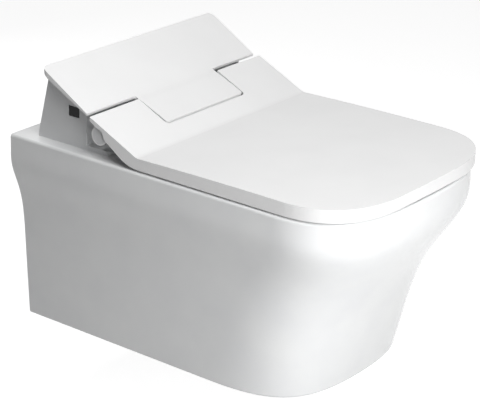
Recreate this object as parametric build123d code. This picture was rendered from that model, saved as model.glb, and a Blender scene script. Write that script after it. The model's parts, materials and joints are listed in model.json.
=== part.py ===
from build123d import *
import os
from math import atan, cos, exp, pi, radians, sin, sqrt, tan

os.makedirs("parts", exist_ok=True)

# All sizes are in millimetres. The rim of the pan is z = 0 while the pieces are made, the wall
# face is y = 0 and the front points to -Y. Every piece is lifted by rim_height when it is
# written, so that the origin of the finished part lies between the two wall bolts.

# Pan
pan_width = 380.0
pan_length = 570.0
pan_height = 286.0
rim_height = 80.0
rim_band = 36.0
china = 11.0
deck_thickness = 14.0
rim_round = 4.0
bowl_round = 7.0
foot_round = 5.0
short_edge = 60.0
corner_length_top = 114.0
corner_length_bottom = 145.0
corner_full_top = 0.69
corner_full_bottom = 0.775
# Flare of the pan below its upright band: (drop, knee, power, taper, bend) of each inset
side_flare = (20.9, 0.19, 1.82, 11.1, 1.3)
front_flare = (56.3, 0.333, 1.77, 36.9, 1.64)
flare_steps = 16
band_steps = 2

# Bowl, at the rim and at the foot of its sump; rear and front are distances from the wall
bowl_depth = 252.0
bowl_half = 138.0
bowl_rear = 208.0
bowl_front = 530.0
sump_half = 26.0
sump_rear = 274.0
sump_front = 336.0
bowl_full = 0.68
bowl_ease = 1.1
bowl_steps = 10

# Trapway and flush inlet
trap_r = 28.0
trap_bend = 45.0
trap_entry_y = 296.0
trap_entry_depth = 226.0
trap_rise_y = 215.0
trap_crest_y = 150.0
trap_crest_depth = 76.0
trap_fall_y = 85.0
outlet_below_bolts = 100.0
outlet_r = 51.0
outlet_wall = 9.0
outlet_length = 62.0
inlet_above_bolts = 35.0
inlet_r = 27.5
inlet_length = 35.0
inlet_wall = 7.5
channel_r = 19.0

# Wall fixing
bolt_spacing = 180.0
bolt_hole_r = 8.0
boss_r = 17.0
boss_length = 46.0
web_thickness = 14.0
web_depth = 112.0
web_column_half = 47.0
sleeve_wall = 1.5
sleeve_flange = 4.0

# Holes in the deck under the shower unit
seat_bolt_spacing = 155.0
seat_bolt_y = 105.0
seat_bolt_r = 4.0
seat_bolt_hole_r = 6.5
seat_bolt_head_r = 8.0
seat_bolt_length = 34.0
nut_across = 13.0
nut_height = 6.5
washer_r = 11.0
washer_thickness = 1.6
service_x = 125.0
service_y = 64.0
service_r = 19.0
grommet_wall = 2.5

# Mounting plate and base plate of the shower unit
plate_half = 100.0
plate_flange = 6.0
plate_foot = 2.0
plate_thickness = 4.0
plate_rear = 60.0
plate_front = 150.0
slide_gap = 0.3
base_thickness = 6.5

# Housing of the shower unit
housing_half = pan_width / 2 - 21.5
housing_rear = 34.0
housing_lean = 0.225
housing_wall = 2.8
lip_width = 5.0
lip_depth = 4.0
cove_r = 9.0
cheek_front = 118.0
base_ear_front = 160.0
block_half = 84.0
block_front = 188.0

# Top cover with its tongue
cover_half = pan_width / 2 - 6.0
cover_rear = 55.0
cover_front = 137.0
cover_rear_z = 108.0
cover_front_z = 59.5
cover_rear_edge = 5.8
cover_front_edge = 3.4
cover_foot = 66.0
cover_foot_depth = 8.3
cover_corner_r = 9.0
tongue_half = 84.7
tongue_gap = 2.5
tongue_thickness = 4.5
tongue_corner_r = 5.0
tongue_root = 20.0
tongue_bend_r = 120.0

# Lid
lid_half = pan_width / 2 - 2.2
lid_front = 566.0
lid_corner_x = 120.8
lid_corner_y = 102.0
lid_corner_full = 0.64
lid_front_bow = 0.6
lid_top_z = 19.3
lid_crown = 1.9
lid_skirt_z = 2.0
lid_plate = 5.0
lid_skirt = 5.5
lid_kink = 228.0
lid_kink_r = 20.0
lid_slope = 0.47
lid_rear = 145.6
ear_edge = 6.0
ear_round = 8.0
skirt_bend = 213.0
skirt_bend_r = 60.0
skirt_rise = 1.0
ear_low = (14.0, -3.0)
ear_high = (6.0, 8.5)
web_half = 11.0
notch_corner_r = 6.0

# Hinge line
hinge_y = 159.0
hinge_z = 33.0
knuckle_clear = 0.7
lid_knuckle_r = 13.3
pin_r = 4.0
pin_clear = 0.08
side_gap = 0.5
damper_inner = 96.0
damper_length = 31.0
seat_knuckle_length = 20.0
lid_knuckle_end = lid_half - 3.8
cap_thickness = 3.0
cap_rim = 2.0
cap_inset = 1.0

# Seat
seat_clear = 2.0
seat_bottom = 3.0
seat_top = 12.6
seat_rear = 224.0
seat_round = 3.0
hole_rear = 262.0
hole_front = 508.0
hole_half = 103.0
hole_full = 0.66
buffer_r = 8.0
buffer_gap = 0.3
seat_buffer_places = ((150.0, 300.0), (118.0, 520.0))
lid_buffer_places = ((140.0, 275.0), (105.0, 530.0))

# Nozzle
nozzle_angle = 20.0
mouth_z = 15.6
wand_r = 5.5
wand_length = 129.0
wand_inset = 4.0
tip_length = 18.0
guide_clear = 0.35
guide_wall = 2.4
guide_length = 62.0
gear_module = 1.0
pinion_teeth = 12
pinion_back = 26.0
rack_inner = 5.8
rack_width = 4.0
rack_pitch_v = 1.0
rack_depth = 3.2
rack_web = 1.8
backlash = 0.16
shaft_r = 1.5
motor_r = 9.0
motor_length = 24.0
nozzle_cover_r = 7.0
nozzle_cover_thickness = 2.0

# Water and electric pieces inside the housing
heater_size = (78.0, 46.0, 42.0)
heater_x = -62.0
heater_y = -82.0
pump_r = 15.0
pump_length = 52.0
pump_x = 40.0
valve_size = (30.0, 26.0, 24.0)
coil_r = 9.0
board_size = (64.0, 44.0, 1.6)
board_x = housing_half - 50.5
board_y = -84.0
board_z = 44.0
inlet_nipple_r = 6.5
inlet_nipple_x = 133.5
gland_r = 5.5
gland_x = 115.5
screw_r = 1.75
screw_head_r = 3.4

# On and off key in the left cheek
key_y = 100.0
key_z = 49.8
key_width = 19.0
key_height = 14.4
key_depth = 5.0
key_travel = 1.5
key_clear = 0.3
key_round = 0.8
switch_size = (9.0, 14.0, 10.0)

# Release latch
button_y = 95.0
button_z = 24.0
button_size = (22.0, 12.0)
button_stand = 3.0
button_travel = 4.0
button_clear = 0.35
latch_x = 88.0
latch_bar = 6.0
latch_width = 8.0
latch_height = 5.0
spring_r = 6.0
spring_length = 11.0

bolt_z = -rim_height
hinge = (-hinge_y, hinge_z)
slant = atan(lid_slope)


def box(x0, x1, y0, y1, z0, z1):
    """Box between two corners."""
    return Pos((x0 + x1) / 2, (y0 + y1) / 2, (z0 + z1) / 2) * Box(x1 - x0, y1 - y0, z1 - z0)


def rod_x(radius, x0, x1, y, z):
    """Cylinder along X."""
    return Pos((x0 + x1) / 2, y, z) * Rot(0, 90, 0) * Cylinder(radius, x1 - x0)


def rod_y(radius, y0, y1, x, z):
    """Cylinder along Y."""
    return Pos(x, (y0 + y1) / 2, z) * Rot(90, 0, 0) * Cylinder(radius, y1 - y0)


def rod_z(radius, z0, z1, x, y):
    """Cylinder along Z."""
    return Pos(x, y, (z0 + z1) / 2) * Cylinder(radius, z1 - z0)


def side_prism(face, x0, x1):
    """Extrude a face drawn in (y, z) from x0 to x1."""
    return Pos(x0, 0, 0) * extrude(Plane.YZ * face, x1 - x0)


def plan_prism(face, z0, z1):
    """Extrude a face drawn in (x, y) from z0 to z1."""
    return Pos(0, 0, z0) * extrude(face, z1 - z0)


def polygon(points):
    """Closed face through the given points."""
    return make_face(Polyline(*points, close=True))


def both_sides(shape):
    """A shape and its mirror image across the middle plane."""
    return shape + mirror(shape, about=Plane.YZ)


def pair(shape):
    """A shape and its mirror image as separate solids."""
    return Compound(children=[shape, mirror(shape, about=Plane.YZ)])


def d_section(half, length, corner, full, depth, rear=0.0):
    """Plan of the pan at one depth: flat to the wall, a full rounded front."""
    start = -(length - corner)
    knee = start - corner * full
    right = Bezier((half, start), (half, knee), (half * full, -length), (0, -length))
    left = Bezier((0, -length), (-half * full, -length), (-half, knee), (-half, start))
    back = Polyline((-half, start), (-half, rear), (half, rear), (half, start))
    return Pos(0, 0, -depth) * make_face(back + right + left)


def flare(share, form):
    """Inset of the pan's lower body at a share of its height below the band."""
    drop, knee, power, taper, bend = form
    return drop * (1 - exp(-((share / knee) ** power))) + taper * share**bend


def pan_form(inset, top, bottom, rear):
    """Outer form of the pan, or its inside when an inset is given."""
    shares = [(top + (rim_band - top) * i / band_steps, 0.0) for i in range(band_steps)]
    for i in range(flare_steps + 1):
        share = i / flare_steps
        shares.append((rim_band + share * (bottom - rim_band), share))
    faces = []
    for depth, share in shares:
        corner = corner_length_top + share * (corner_length_bottom - corner_length_top)
        full = corner_full_top + share * (corner_full_bottom - corner_full_top)
        half = pan_width / 2 - flare(share, side_flare) - inset
        length = pan_length - flare(share, front_flare) - inset
        faces.append(d_section(half, length, corner, full, depth, rear))
    return loft(faces)


def egg(half, rear, front, full, depth=0.0, grow=0.0):
    """Oval plan of the bowl and of the seat opening, longer than it is wide."""
    half = half + grow
    rear = rear - grow
    front = front + grow
    middle = (rear + front) / 2
    reach = (front - rear) / 2
    edges = []
    for x, y in ((1, -1), (-1, -1), (-1, 1), (1, 1)):
        side = (x * half, -middle)
        end = (0, -middle + y * reach)
        edges.append(Bezier(side, (side[0], side[1] + y * reach * full), (x * half * full, end[1]), end))
    return Pos(0, 0, -depth) * make_face(edges)


def bowl_form(grow):
    """Loft of the bowl, grown by the china's thickness for its outside."""
    faces = []
    for i in range(bowl_steps + 1):
        share = i / bowl_steps
        left = (1 + cos(pi * share**bowl_ease)) / 2
        half = sump_half + (bowl_half - sump_half) * left
        rear = sump_rear + (bowl_rear - sump_rear) * left
        front = sump_front + (bowl_front - sump_front) * left
        faces.append(egg(half, rear, front, bowl_full, share * (bowl_depth + grow), grow))
    return loft(faces)


def trap_path():
    """Centre line of the trapway, from the sump over the crest to the outlet."""
    outlet_z = bolt_z - outlet_below_bolts
    points = (
        (0, -trap_entry_y, -trap_entry_depth),
        (0, -trap_rise_y, -trap_entry_depth),
        (0, -trap_crest_y, -trap_crest_depth),
        (0, -trap_fall_y, outlet_z),
        (0, -outlet_length / 2, outlet_z),
    )
    return FilletPolyline(*points, radius=trap_bend)


def tube_along(path, radius):
    """Round bar swept along a path."""
    return sweep(Plane(path @ 0, z_dir=path % 0) * Circle(radius), path=path)


def make_pan():
    """China pan: shell, deck, bowl, trapway, flush inlet, wall bosses and rear web."""
    outlet_z = bolt_z - outlet_below_bolts
    inlet_z = bolt_z + inlet_above_bolts
    half = pan_width / 2
    body = pan_form(0.0, 0.0, pan_height, 0.0)
    hollow = pan_form(china, deck_thickness, pan_height - china, 1.0)
    shell = body - hollow
    web = box(-half, half, -web_thickness, 0, -web_depth, -deck_thickness / 2)
    column = box(-web_column_half, web_column_half, -web_thickness, 0, -pan_height + china / 2, -web_depth)
    shell += (web + column) & body
    shell += both_sides(rod_y(boss_r, -boss_length, 0, bolt_spacing / 2, bolt_z))
    shell += (bowl_form(china) & body)
    path = trap_path()
    shell += tube_along(path, trap_r + china - 1)
    shell += rod_y(outlet_r, -outlet_length, 0, 0, outlet_z)
    shell += rod_y(inlet_r + inlet_wall, -inlet_length - inlet_wall, 0, 0, inlet_z)
    shell += rod_y(channel_r + inlet_wall, -bowl_rear, -inlet_length, 0, inlet_z)
    shell -= bowl_form(0.0)
    shell -= tube_along(path, trap_r)
    shell -= rod_y(outlet_r - outlet_wall, -outlet_length + outlet_wall, 1, 0, outlet_z)
    shell -= rod_y(inlet_r, -inlet_length, 1, 0, inlet_z)
    shell -= rod_y(channel_r, -bowl_rear - china, -inlet_length, 0, inlet_z)
    shell -= both_sides(rod_y(bolt_hole_r, -boss_length - 1, 1, bolt_spacing / 2, bolt_z))
    shell -= both_sides(rod_z(seat_bolt_hole_r, -deck_thickness - 1, 1, seat_bolt_spacing / 2, -seat_bolt_y))
    shell -= rod_z(service_r, -deck_thickness - 1, 1, -service_x, -service_y)
    level = [e for e in shell.edges() if e.bounding_box().size.Z < 0.01 and e.length > short_edge]
    rim = [e for e in level if e.center().Z > -0.01]
    rim = [e for e in rim if (e @ 0.5).Y < -web_thickness]
    bowl = [e for e in rim if abs((e @ 0.5).X) < bowl_half and -bowl_front < (e @ 0.5).Y < -bowl_rear]
    foot = [e for e in level if e.center().Z < -pan_height + 0.01 and (e @ 0.5).Y < -web_thickness]
    foot = [e for e in foot if (e @ 0.5).Y < -pan_length / 2 or abs((e @ 0.5).X) > web_column_half + boss_r]
    shell = shell.fillet(bowl_round, bowl)
    shell = shell.fillet(foot_round, foot)
    outer = [e for e in rim if e not in bowl]
    return shell.fillet(rim_round, outer)


def make_sleeves():
    """Plastic sleeves that keep the wall bolts off the china."""
    inner = bolt_hole_r - sleeve_wall
    sleeve = rod_y(bolt_hole_r, -boss_length, 0, bolt_spacing / 2, bolt_z)
    flange = rod_y(bolt_hole_r + sleeve_flange, -boss_length - sleeve_wall, -boss_length, bolt_spacing / 2, bolt_z)
    bore = rod_y(inner, -boss_length - sleeve_wall - 1, 1, bolt_spacing / 2, bolt_z)
    return pair(sleeve + flange - bore)


def make_grommet():
    """Rubber grommet in the service hole of the deck."""
    ring = rod_z(service_r, -deck_thickness, 0, -service_x, -service_y)
    lip = rod_z(service_r + grommet_wall, -deck_thickness - grommet_wall, -deck_thickness, -service_x, -service_y)
    bore = rod_z(service_r - grommet_wall, -deck_thickness - grommet_wall - 1, 1, -service_x, -service_y)
    return ring + lip - bore


def seat_bolt_places():
    return [(side * seat_bolt_spacing / 2, -seat_bolt_y) for side in (-1, 1)]


def make_seat_bolts():
    """Countersunk bolts that hold the mounting plate to the deck."""
    bolts = []
    for x, y in seat_bolt_places():
        shank = rod_z(seat_bolt_r, plate_thickness - seat_bolt_length, plate_thickness, x, y)
        cone = Cone(seat_bolt_r, seat_bolt_head_r, plate_thickness)
        bolts.append(shank + Pos(x, y, plate_thickness / 2) * cone)
    return Compound(children=bolts)


def make_washers():
    """Washers under the deck."""
    rings = []
    for x, y in seat_bolt_places():
        ring = rod_z(washer_r, -deck_thickness - washer_thickness, -deck_thickness, x, y)
        rings.append(ring - rod_z(seat_bolt_r + 0.3, -deck_thickness - 9, 0, x, y))
    return Compound(children=rings)


def make_nuts():
    """Hexagon nuts under the washers."""
    top = -deck_thickness - washer_thickness
    nuts = []
    for x, y in seat_bolt_places():
        hexagon = RegularPolygon(nut_across / 2, 6, major_radius=False)
        nut = Pos(x, y, top - nut_height) * extrude(hexagon, nut_height)
        nuts.append(nut - rod_z(seat_bolt_r, top - nut_height - 1, top + 1, x, y))
    return Compound(children=nuts)


def plate_solid(gap):
    """T-shaped slide of the mounting plate; with a gap it is the pocket in the base plate."""
    front = -plate_front - gap
    rear = -plate_rear if gap == 0 else -housing_rear + 1
    half = plate_half + gap
    wide = half + plate_flange
    foot = box(-half, half, front, rear, -gap, plate_foot)
    return foot + box(-wide, wide, front, rear, plate_foot - gap, plate_thickness + gap)


def make_mounting_plate():
    """Steel plate bolted to the deck, on which the shower unit slides and latches."""
    plate = plate_solid(0)
    for x, y in seat_bolt_places():
        plate -= rod_z(seat_bolt_r, -1, plate_thickness + 1, x, y)
        plate -= Pos(x, y, plate_thickness / 2) * Cone(seat_bolt_r, seat_bolt_head_r, plate_thickness)
    half = latch_width / 2 + button_clear
    pocket = box(
        latch_x - button_travel - button_clear,
        latch_x + latch_height + button_clear,
        -button_y - half,
        -button_y + half,
        -1,
        plate_thickness + 1,
    )
    way = box(
        latch_x - button_travel - button_clear,
        latch_x - button_travel + latch_height + button_clear,
        -plate_front - 1,
        -button_y,
        -1,
        plate_thickness + 1,
    )
    return plate - pocket - way


def housing_plan(inset):
    """Plan of the housing: wide at the rear, with a middle block under the tongue."""
    side = housing_half - inset
    block = block_half - inset
    cheek = -cheek_front + inset
    front = -block_front + inset
    rear = -inset
    right = ((side, rear), (side, cheek), (block, cheek), (block, front))
    left = tuple((-x, y) for x, y in reversed(right))
    return polygon(right + left)


def cover_z(y):
    """Height of the top cover's upper face."""
    slope = (cover_rear_z - cover_front_z) / (cover_front - cover_rear)
    return cover_front_z + slope * (y + cover_front)


def cover_low(y):
    """Height of the top cover's underside, which is thinner at the front."""
    foot_z = cover_z(-cover_foot) - cover_foot_depth
    slope = (foot_z - cover_front_z + cover_front_edge) / (cover_front - cover_foot)
    return foot_z + slope * (y + cover_foot)


def lid_z(y):
    """Height of the slanted rear part of the lid."""
    return lid_top_z + lid_slope * (y + lid_kink)


tongue_front = block_front + 6.5
notch_front = tongue_front + tongue_gap
notch_half = tongue_half + tongue_gap
tongue_front_z = lid_z(-tongue_front)
tongue_slope = (cover_front_z - tongue_front_z) / (tongue_front - cover_front)


def tongue_z(y):
    """Height of the tongue's upper face."""
    return tongue_front_z + tongue_slope * (y + tongue_front)


def housing_profile(inset):
    """Side view of the housing, from the leaning rear face to the block's front."""
    foot_z = cover_low(-cover_foot)
    rise = (cover_z(-cover_rear) - cover_rear_edge - foot_z) / (cover_foot - cover_rear)
    top_rear = -(housing_rear + housing_lean * (foot_z + rise * cover_foot)) / (1 + housing_lean * rise)
    top_z = foot_z + rise * (top_rear + cover_foot)
    front = -block_front + inset
    low = base_thickness - (1 if inset else 0)
    lift = 1 if inset else 0
    step = cover_low(-cheek_front) - tongue_thickness
    return polygon(
        (
            (-housing_rear - inset, low),
            (top_rear - inset, top_z + lift),
            (-cover_foot - inset, foot_z + lift),
            (-cheek_front, cover_low(-cheek_front) + lift),
            (-cheek_front, step + lift),
            (-cover_front, tongue_z(-cover_front) - tongue_thickness - cove_r / 4 + lift),
            (front, tongue_z(front) - tongue_thickness + lift),
            (front, low),
        )
    )


def make_base_plate():
    """Base of the shower unit, with the slide pocket and the two feet under the hinges."""
    plan = housing_plan(0)
    slab = plan_prism(plan, 0, base_thickness)
    slab &= box(-pan_width, pan_width, -pan_length, -housing_rear, 0, base_thickness)
    inner = damper_inner - side_gap
    foot = box(inner - 12, housing_half, -base_ear_front, -cheek_front, 0, base_thickness)
    slab += both_sides(foot)
    slab -= plate_solid(slide_gap)
    low = plate_thickness
    slab -= box(
        latch_x - button_travel - button_clear,
        latch_x + latch_height + button_clear,
        -button_y - latch_width / 2 - button_clear,
        -button_y + latch_width / 2 + button_clear,
        low,
        base_thickness + 1,
    )
    slab -= rod_z(inlet_nipple_r, -1, base_thickness + 1, -inlet_nipple_x, -service_y)
    slab -= rod_z(gland_r, -1, base_thickness + 1, -gland_x, -service_y)
    for x, y in screw_places():
        slab -= rod_z(screw_r, -1, base_thickness + 1, x, y)
        slab -= rod_z(screw_head_r, -1, base_thickness / 3, x, y)
    return slab


def screw_places():
    """Housing screws, driven up through the base plate into posts."""
    side = housing_half - housing_wall - 3
    return [(x, y) for x in (-side, side) for y in (-cheek_front + 8, -housing_rear - 22)]


def recess_lip():
    """Rim of a hinge recess: it stands forward of the recess wall and curves into the foot."""
    wall = -cheek_front
    front = wall - lip_depth
    top = cover_low(front)
    inner = housing_half - lip_width
    lip = polygon(((wall, base_thickness), (wall, cover_low(wall)), (front, top), (front, base_thickness)))
    cove = polygon(
        (
            (wall, base_thickness),
            (wall, base_thickness + cove_r),
            (wall - cove_r, base_thickness + cove_r),
            (wall - cove_r, base_thickness),
        )
    )
    cove -= Pos(wall - cove_r, base_thickness + cove_r) * Circle(cove_r)
    return side_prism(lip, inner, housing_half) + side_prism(cove, block_half, inner)


def make_housing():
    """Moulded shell of the shower unit: cheeks, leaning back, recess walls and middle block."""
    height = cover_rear_z
    outer = plan_prism(housing_plan(0), 0, height) & side_prism(housing_profile(0), -housing_half, housing_half)
    inner = plan_prism(housing_plan(housing_wall), -1, height + 1)
    inner &= side_prism(housing_profile(housing_wall), -housing_half, housing_half)
    shell = outer - inner
    shell += both_sides(recess_lip())
    for x, y in screw_places():
        post = rod_z(screw_r + 2.2, base_thickness, base_thickness + 14, x, y)
        shell += post - rod_z(screw_r, base_thickness - 1, base_thickness + 11, x, y)
    shell -= side_key(key_clear, 2.0)
    width, tall = button_size
    shell -= box(
        housing_half - housing_wall - 1,
        housing_half + 1,
        -button_y - width / 2 - button_clear,
        -button_y + width / 2 + button_clear,
        button_z - tall / 2 - button_clear,
        button_z + tall / 2 + button_clear,
    )
    shell -= nozzle_place(rod_x(nozzle_cover_r + guide_clear, -30, 20, 0, 0))
    low = rack_pitch_v - rack_depth - guide_clear
    high = rack_pitch_v + gear_module + guide_clear
    shell -= nozzle_place(box(-30, 20, low, high, 0, rack_inner + rack_width + guide_clear))
    return shell


def cover_plan(half, rear, front, radius):
    """Plan of the top cover without its tongue."""
    plan = polygon(((-half, -rear), (half, -rear), (half, -front), (-half, -front)))
    corners = plan.vertices().sort_by(Axis.Y)[-2:]
    return fillet(corners, radius)


def make_top_cover():
    """Slanted top cover with the tongue that fills the lid's notch."""
    rear_z = cover_z(-cover_rear)
    profile = polygon(
        (
            (-cover_rear, rear_z),
            (-cover_rear, rear_z - cover_rear_edge),
            (-cover_foot, cover_low(-cover_foot)),
            (-cover_front, cover_front_z - cover_front_edge),
            (-cover_front, cover_front_z),
        )
    )
    slab = side_prism(profile, -cover_half, cover_half)
    slab &= plan_prism(cover_plan(cover_half, cover_rear, cover_front, cover_corner_r), 0, cover_rear_z + 1)
    root = -cover_front + tongue_root
    slab -= box(-tongue_half, tongue_half, -cover_front - 1, root, 0, cover_rear_z)
    crease = (-cover_front, cover_front_z)
    under = (-cover_front, cover_front_z - tongue_thickness)
    side = polygon(
        (
            (root, cover_z(root)),
            crease,
            (-tongue_front, tongue_front_z),
            (-tongue_front, tongue_front_z - tongue_thickness),
            under,
            (root, cover_low(root)),
        )
    )
    bends = [v for v in side.vertices() if abs(v.X + cover_front) < 0.01]
    side = fillet(bends, tongue_bend_r)
    plan = polygon(((-tongue_half, root), (tongue_half, root), (tongue_half, -tongue_front), (-tongue_half, -tongue_front)))
    plan = fillet(plan.vertices().sort_by(Axis.Y)[:2], tongue_corner_r)
    tongue = side_prism(side, -tongue_half, tongue_half) & plan_prism(plan, 0, cover_rear_z)
    return slab + tongue


def lid_plan(inset, rear=100.0):
    """Plan of the lid: straight sides and soft square front corners."""
    half = lid_half - inset
    front = -(lid_front - inset)
    rx = lid_corner_x - inset
    ry = lid_corner_y - inset
    flat = half - rx
    bow = lid_front_bow
    side_y = front + ry
    lean = 2 * bow / flat
    tip = (flat, front + bow)
    full = lid_corner_full
    right = Bezier((half, side_y), (half, side_y - ry * full), (flat + rx * full, tip[1] + rx * full * lean), tip)
    nose = ThreePointArc(tip, (0, front), (-flat, tip[1]))
    left = Bezier(
        (-flat, tip[1]), (-flat - rx * full, tip[1] + rx * full * lean), (-half, side_y - ry * full), (-half, side_y)
    )
    back = Polyline((-half, side_y), (-half, -rear), (half, -rear), (half, side_y))
    return make_face(back + right + nose + left)


def lid_top_curve(drop):
    """Upper line of the lid in side view, lowered by drop for its underside."""
    rise = lid_z(-lid_rear) - drop
    kink_z = lid_top_z - drop
    tangent = lid_kink_r * tan(slant / 2)
    a = (-lid_kink + tangent * cos(slant), kink_z + tangent * sin(slant))
    b = (-lid_kink - tangent, kink_z)
    mid = (-lid_kink, kink_z + lid_kink_r * (1 / cos(slant / 2) - 1))
    front = (-lid_front - 1, kink_z)
    crown = (-(lid_kink + lid_front) / 2, kink_z + lid_crown)
    return [
        Line((-lid_rear, rise), a),
        ThreePointArc(a, mid, b),
        ThreePointArc(b, crown, front),
    ]


def corners_at(face, points):
    """Vertices of a drawn face that lie at the given points."""
    return [v for v in face.vertices() if any(abs(v.X - y) + abs(v.Y - z) < 0.01 for y, z in points)]


def make_lid():
    """Lid: thin crowned plate, deep skirt, slanted ears beside the notch, hinge knuckles."""
    top = lid_top_curve(0)
    rear_low = lid_z(-lid_rear) - ear_edge
    front_y = -lid_front - 1
    low_bend = (-skirt_bend, lid_skirt_z + skirt_rise)
    ear_bends = [(-hinge_y - y, hinge_z + z) for y, z in (ear_low, ear_high)]
    lower = Polyline(
        (front_y, lid_top_z),
        (front_y, lid_skirt_z),
        low_bend,
        *ear_bends,
        (-lid_rear, rear_low),
        (-lid_rear, lid_z(-lid_rear)),
    )
    side = make_face(top + [lower])
    side = fillet(corners_at(side, [low_bend]), skirt_bend_r)
    side = fillet(corners_at(side, ear_bends), ear_round)
    form = side_prism(side, -lid_half - 1, lid_half + 1) & plan_prism(lid_plan(0), -5, cover_rear_z)
    under = lid_top_curve(lid_plate)
    deep = Polyline(
        (front_y, lid_top_z - lid_plate),
        (front_y, -10),
        (-lid_rear + 20, -10),
        (-lid_rear + 20, lid_z(-lid_rear) - lid_plate),
        (-lid_rear, lid_z(-lid_rear) - lid_plate),
    )
    hollow = side_prism(make_face(under + [deep]), -lid_half, lid_half)
    hollow &= plan_prism(lid_plan(lid_skirt), -11, cover_rear_z)
    shell = form - hollow
    notch = polygon(
        (
            (-notch_half, -lid_rear + 10),
            (notch_half, -lid_rear + 10),
            (notch_half, -notch_front),
            (-notch_half, -notch_front),
        )
    )
    notch = fillet(notch.vertices().sort_by(Axis.Y)[:2], notch_corner_r)
    shell -= plan_prism(notch, -10, cover_rear_z)
    start = knuckle_start(2)
    end = lid_knuckle_end - cap_thickness + cap_inset
    knuckle = rod_x(lid_knuckle_r, start, lid_knuckle_end, *hinge)
    low = hinge_z
    web = polygon(
        (
            (-hinge_y - web_half, low),
            (-hinge_y + web_half, low),
            (-hinge_y + web_half, lid_z(-hinge_y + web_half) - lid_plate / 2),
            (-hinge_y - web_half, lid_z(-hinge_y - web_half) - lid_plate / 2),
        )
    )
    knuckle += side_prism(web, start, lid_half - lid_skirt + 0.5)
    shell += both_sides(knuckle)
    shell -= rod_x(pin_r, -end, -start + 1, *hinge)
    shell -= rod_x(pin_r + pin_clear, start - 1, end, *hinge)
    shell -= both_sides(rod_x(lid_knuckle_r - cap_rim, lid_knuckle_end - cap_thickness, lid_half + 1, *hinge))
    for x, y in lid_buffer_places:
        shell -= both_sides(lid_buffer(x, y))
    return shell


def knuckle_start(index):
    """Inner end of the damper, seat knuckle or lid knuckle along the hinge line."""
    starts = [damper_inner]
    starts.append(starts[0] + damper_length + side_gap)
    starts.append(starts[1] + seat_knuckle_length + side_gap)
    return starts[index]


def fixed_knuckle_r():
    """Radius that clears the underside of the lid's plate while the lid turns."""
    above = (lid_z(-hinge_y) - hinge_z) * cos(slant)
    return above - lid_plate * cos(slant) - knuckle_clear


def make_hinge_caps():
    """Round caps in the outer ends of the lid's knuckles."""
    return pair(rod_x(lid_knuckle_r - cap_rim, lid_knuckle_end - cap_thickness, lid_knuckle_end, *hinge))


def make_damper(side):
    """Soft-close damper on a lug of the base plate."""
    start = knuckle_start(0)
    end = start + damper_length
    radius = fixed_knuckle_r()
    body = rod_x(radius, start, end, *hinge)
    lug = box(start, end, -hinge_y - radius, -hinge_y + radius * 0.8, base_thickness, hinge_z)
    lug &= box(start, end, -base_ear_front - radius, -hinge_y + radius, base_thickness, hinge_z)
    part = body + lug
    part -= rod_x(pin_r + pin_clear, start + 4, end + 1, *hinge)
    return part if side > 0 else mirror(part, about=Plane.YZ)


def make_pin(side):
    """Hinge pin: the left one turns with the lid, the right one with the seat."""
    start = knuckle_start(0) + 5
    end = lid_knuckle_end - cap_thickness - 0.5
    part = rod_x(pin_r, start, end, *hinge)
    return part if side > 0 else mirror(part, about=Plane.YZ)


def make_seat():
    """Seat ring with its opening, the nozzle channel and two hinge arms."""
    inset = lid_skirt + seat_clear
    ring = plan_prism(lid_plan(inset, seat_rear), seat_bottom, seat_top)
    ring -= plan_prism(egg(hole_half, hole_rear, hole_front, hole_full), -1, seat_top + 1)
    rims = [e for e in ring.edges() if e.center().Z > seat_top - 0.01]
    ring = fillet(rims, seat_round)
    radius = fixed_knuckle_r()
    drop = lid_plate + knuckle_clear / cos(slant)
    arm = polygon(
        (
            (-hinge_y - radius * sin(slant), hinge_z + radius * cos(slant)),
            (-seat_rear - 14, lid_z(-seat_rear - 14) - drop),
            (-seat_rear - 14, seat_bottom),
            (-seat_rear + 8, seat_bottom),
            (-hinge_y - radius * 0.7, hinge_z - radius * 0.714),
            (-hinge_y, hinge_z),
        )
    )
    start = knuckle_start(1)
    end = start + seat_knuckle_length
    knuckle = rod_x(radius, start, end, *hinge) + side_prism(arm, start, end)
    ring += both_sides(knuckle)
    ring -= rod_x(pin_r, start - 1, end + 1, *hinge)
    ring -= rod_x(pin_r + pin_clear, -end - 1, -start + 1, *hinge)
    height = mouth_z - (seat_rear - block_front) * tan(radians(nozzle_angle))
    height += wand_clear() / cos(radians(nozzle_angle)) + slide_gap
    channel = wand_clear() + rack_width + 2
    ring -= box(-channel, channel, -hole_rear - 1, -seat_rear + 1, seat_bottom - 1, height)
    return ring


def wand_clear():
    """Largest radius of what the nozzle pushes under the seat."""
    return nozzle_cover_r


def make_seat_buffers():
    """Rubber feet of the seat."""
    feet = []
    for x, y in seat_buffer_places:
        for side in (-1, 1):
            feet.append(rod_z(buffer_r, buffer_gap, seat_bottom, side * x, -y))
    return Compound(children=feet)


def lid_buffer(x, y):
    """One rubber buffer let into the underside of the lid."""
    return rod_z(buffer_r - 2, seat_top + buffer_gap, lid_top_z - lid_plate / 2, x, -y)


def make_lid_buffers():
    """Rubber buffers of the lid."""
    pads = []
    for x, y in lid_buffer_places:
        pads += [lid_buffer(x, y), lid_buffer(-x, y)]
    return Compound(children=pads)


def nozzle_place(shape):
    """Move a shape drawn along +X into the slanted nozzle line, its mouth at the origin."""
    angle = radians(nozzle_angle)
    frame = Plane(origin=(0, -block_front, mouth_z), x_dir=(0, -cos(angle), -sin(angle)), z_dir=(-1, 0, 0))
    return frame.location * shape


def make_wand():
    """Round nozzle wand."""
    return nozzle_place(rod_x(wand_r, -wand_inset - wand_length, -wand_inset - tip_length, 0, 0))


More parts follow.
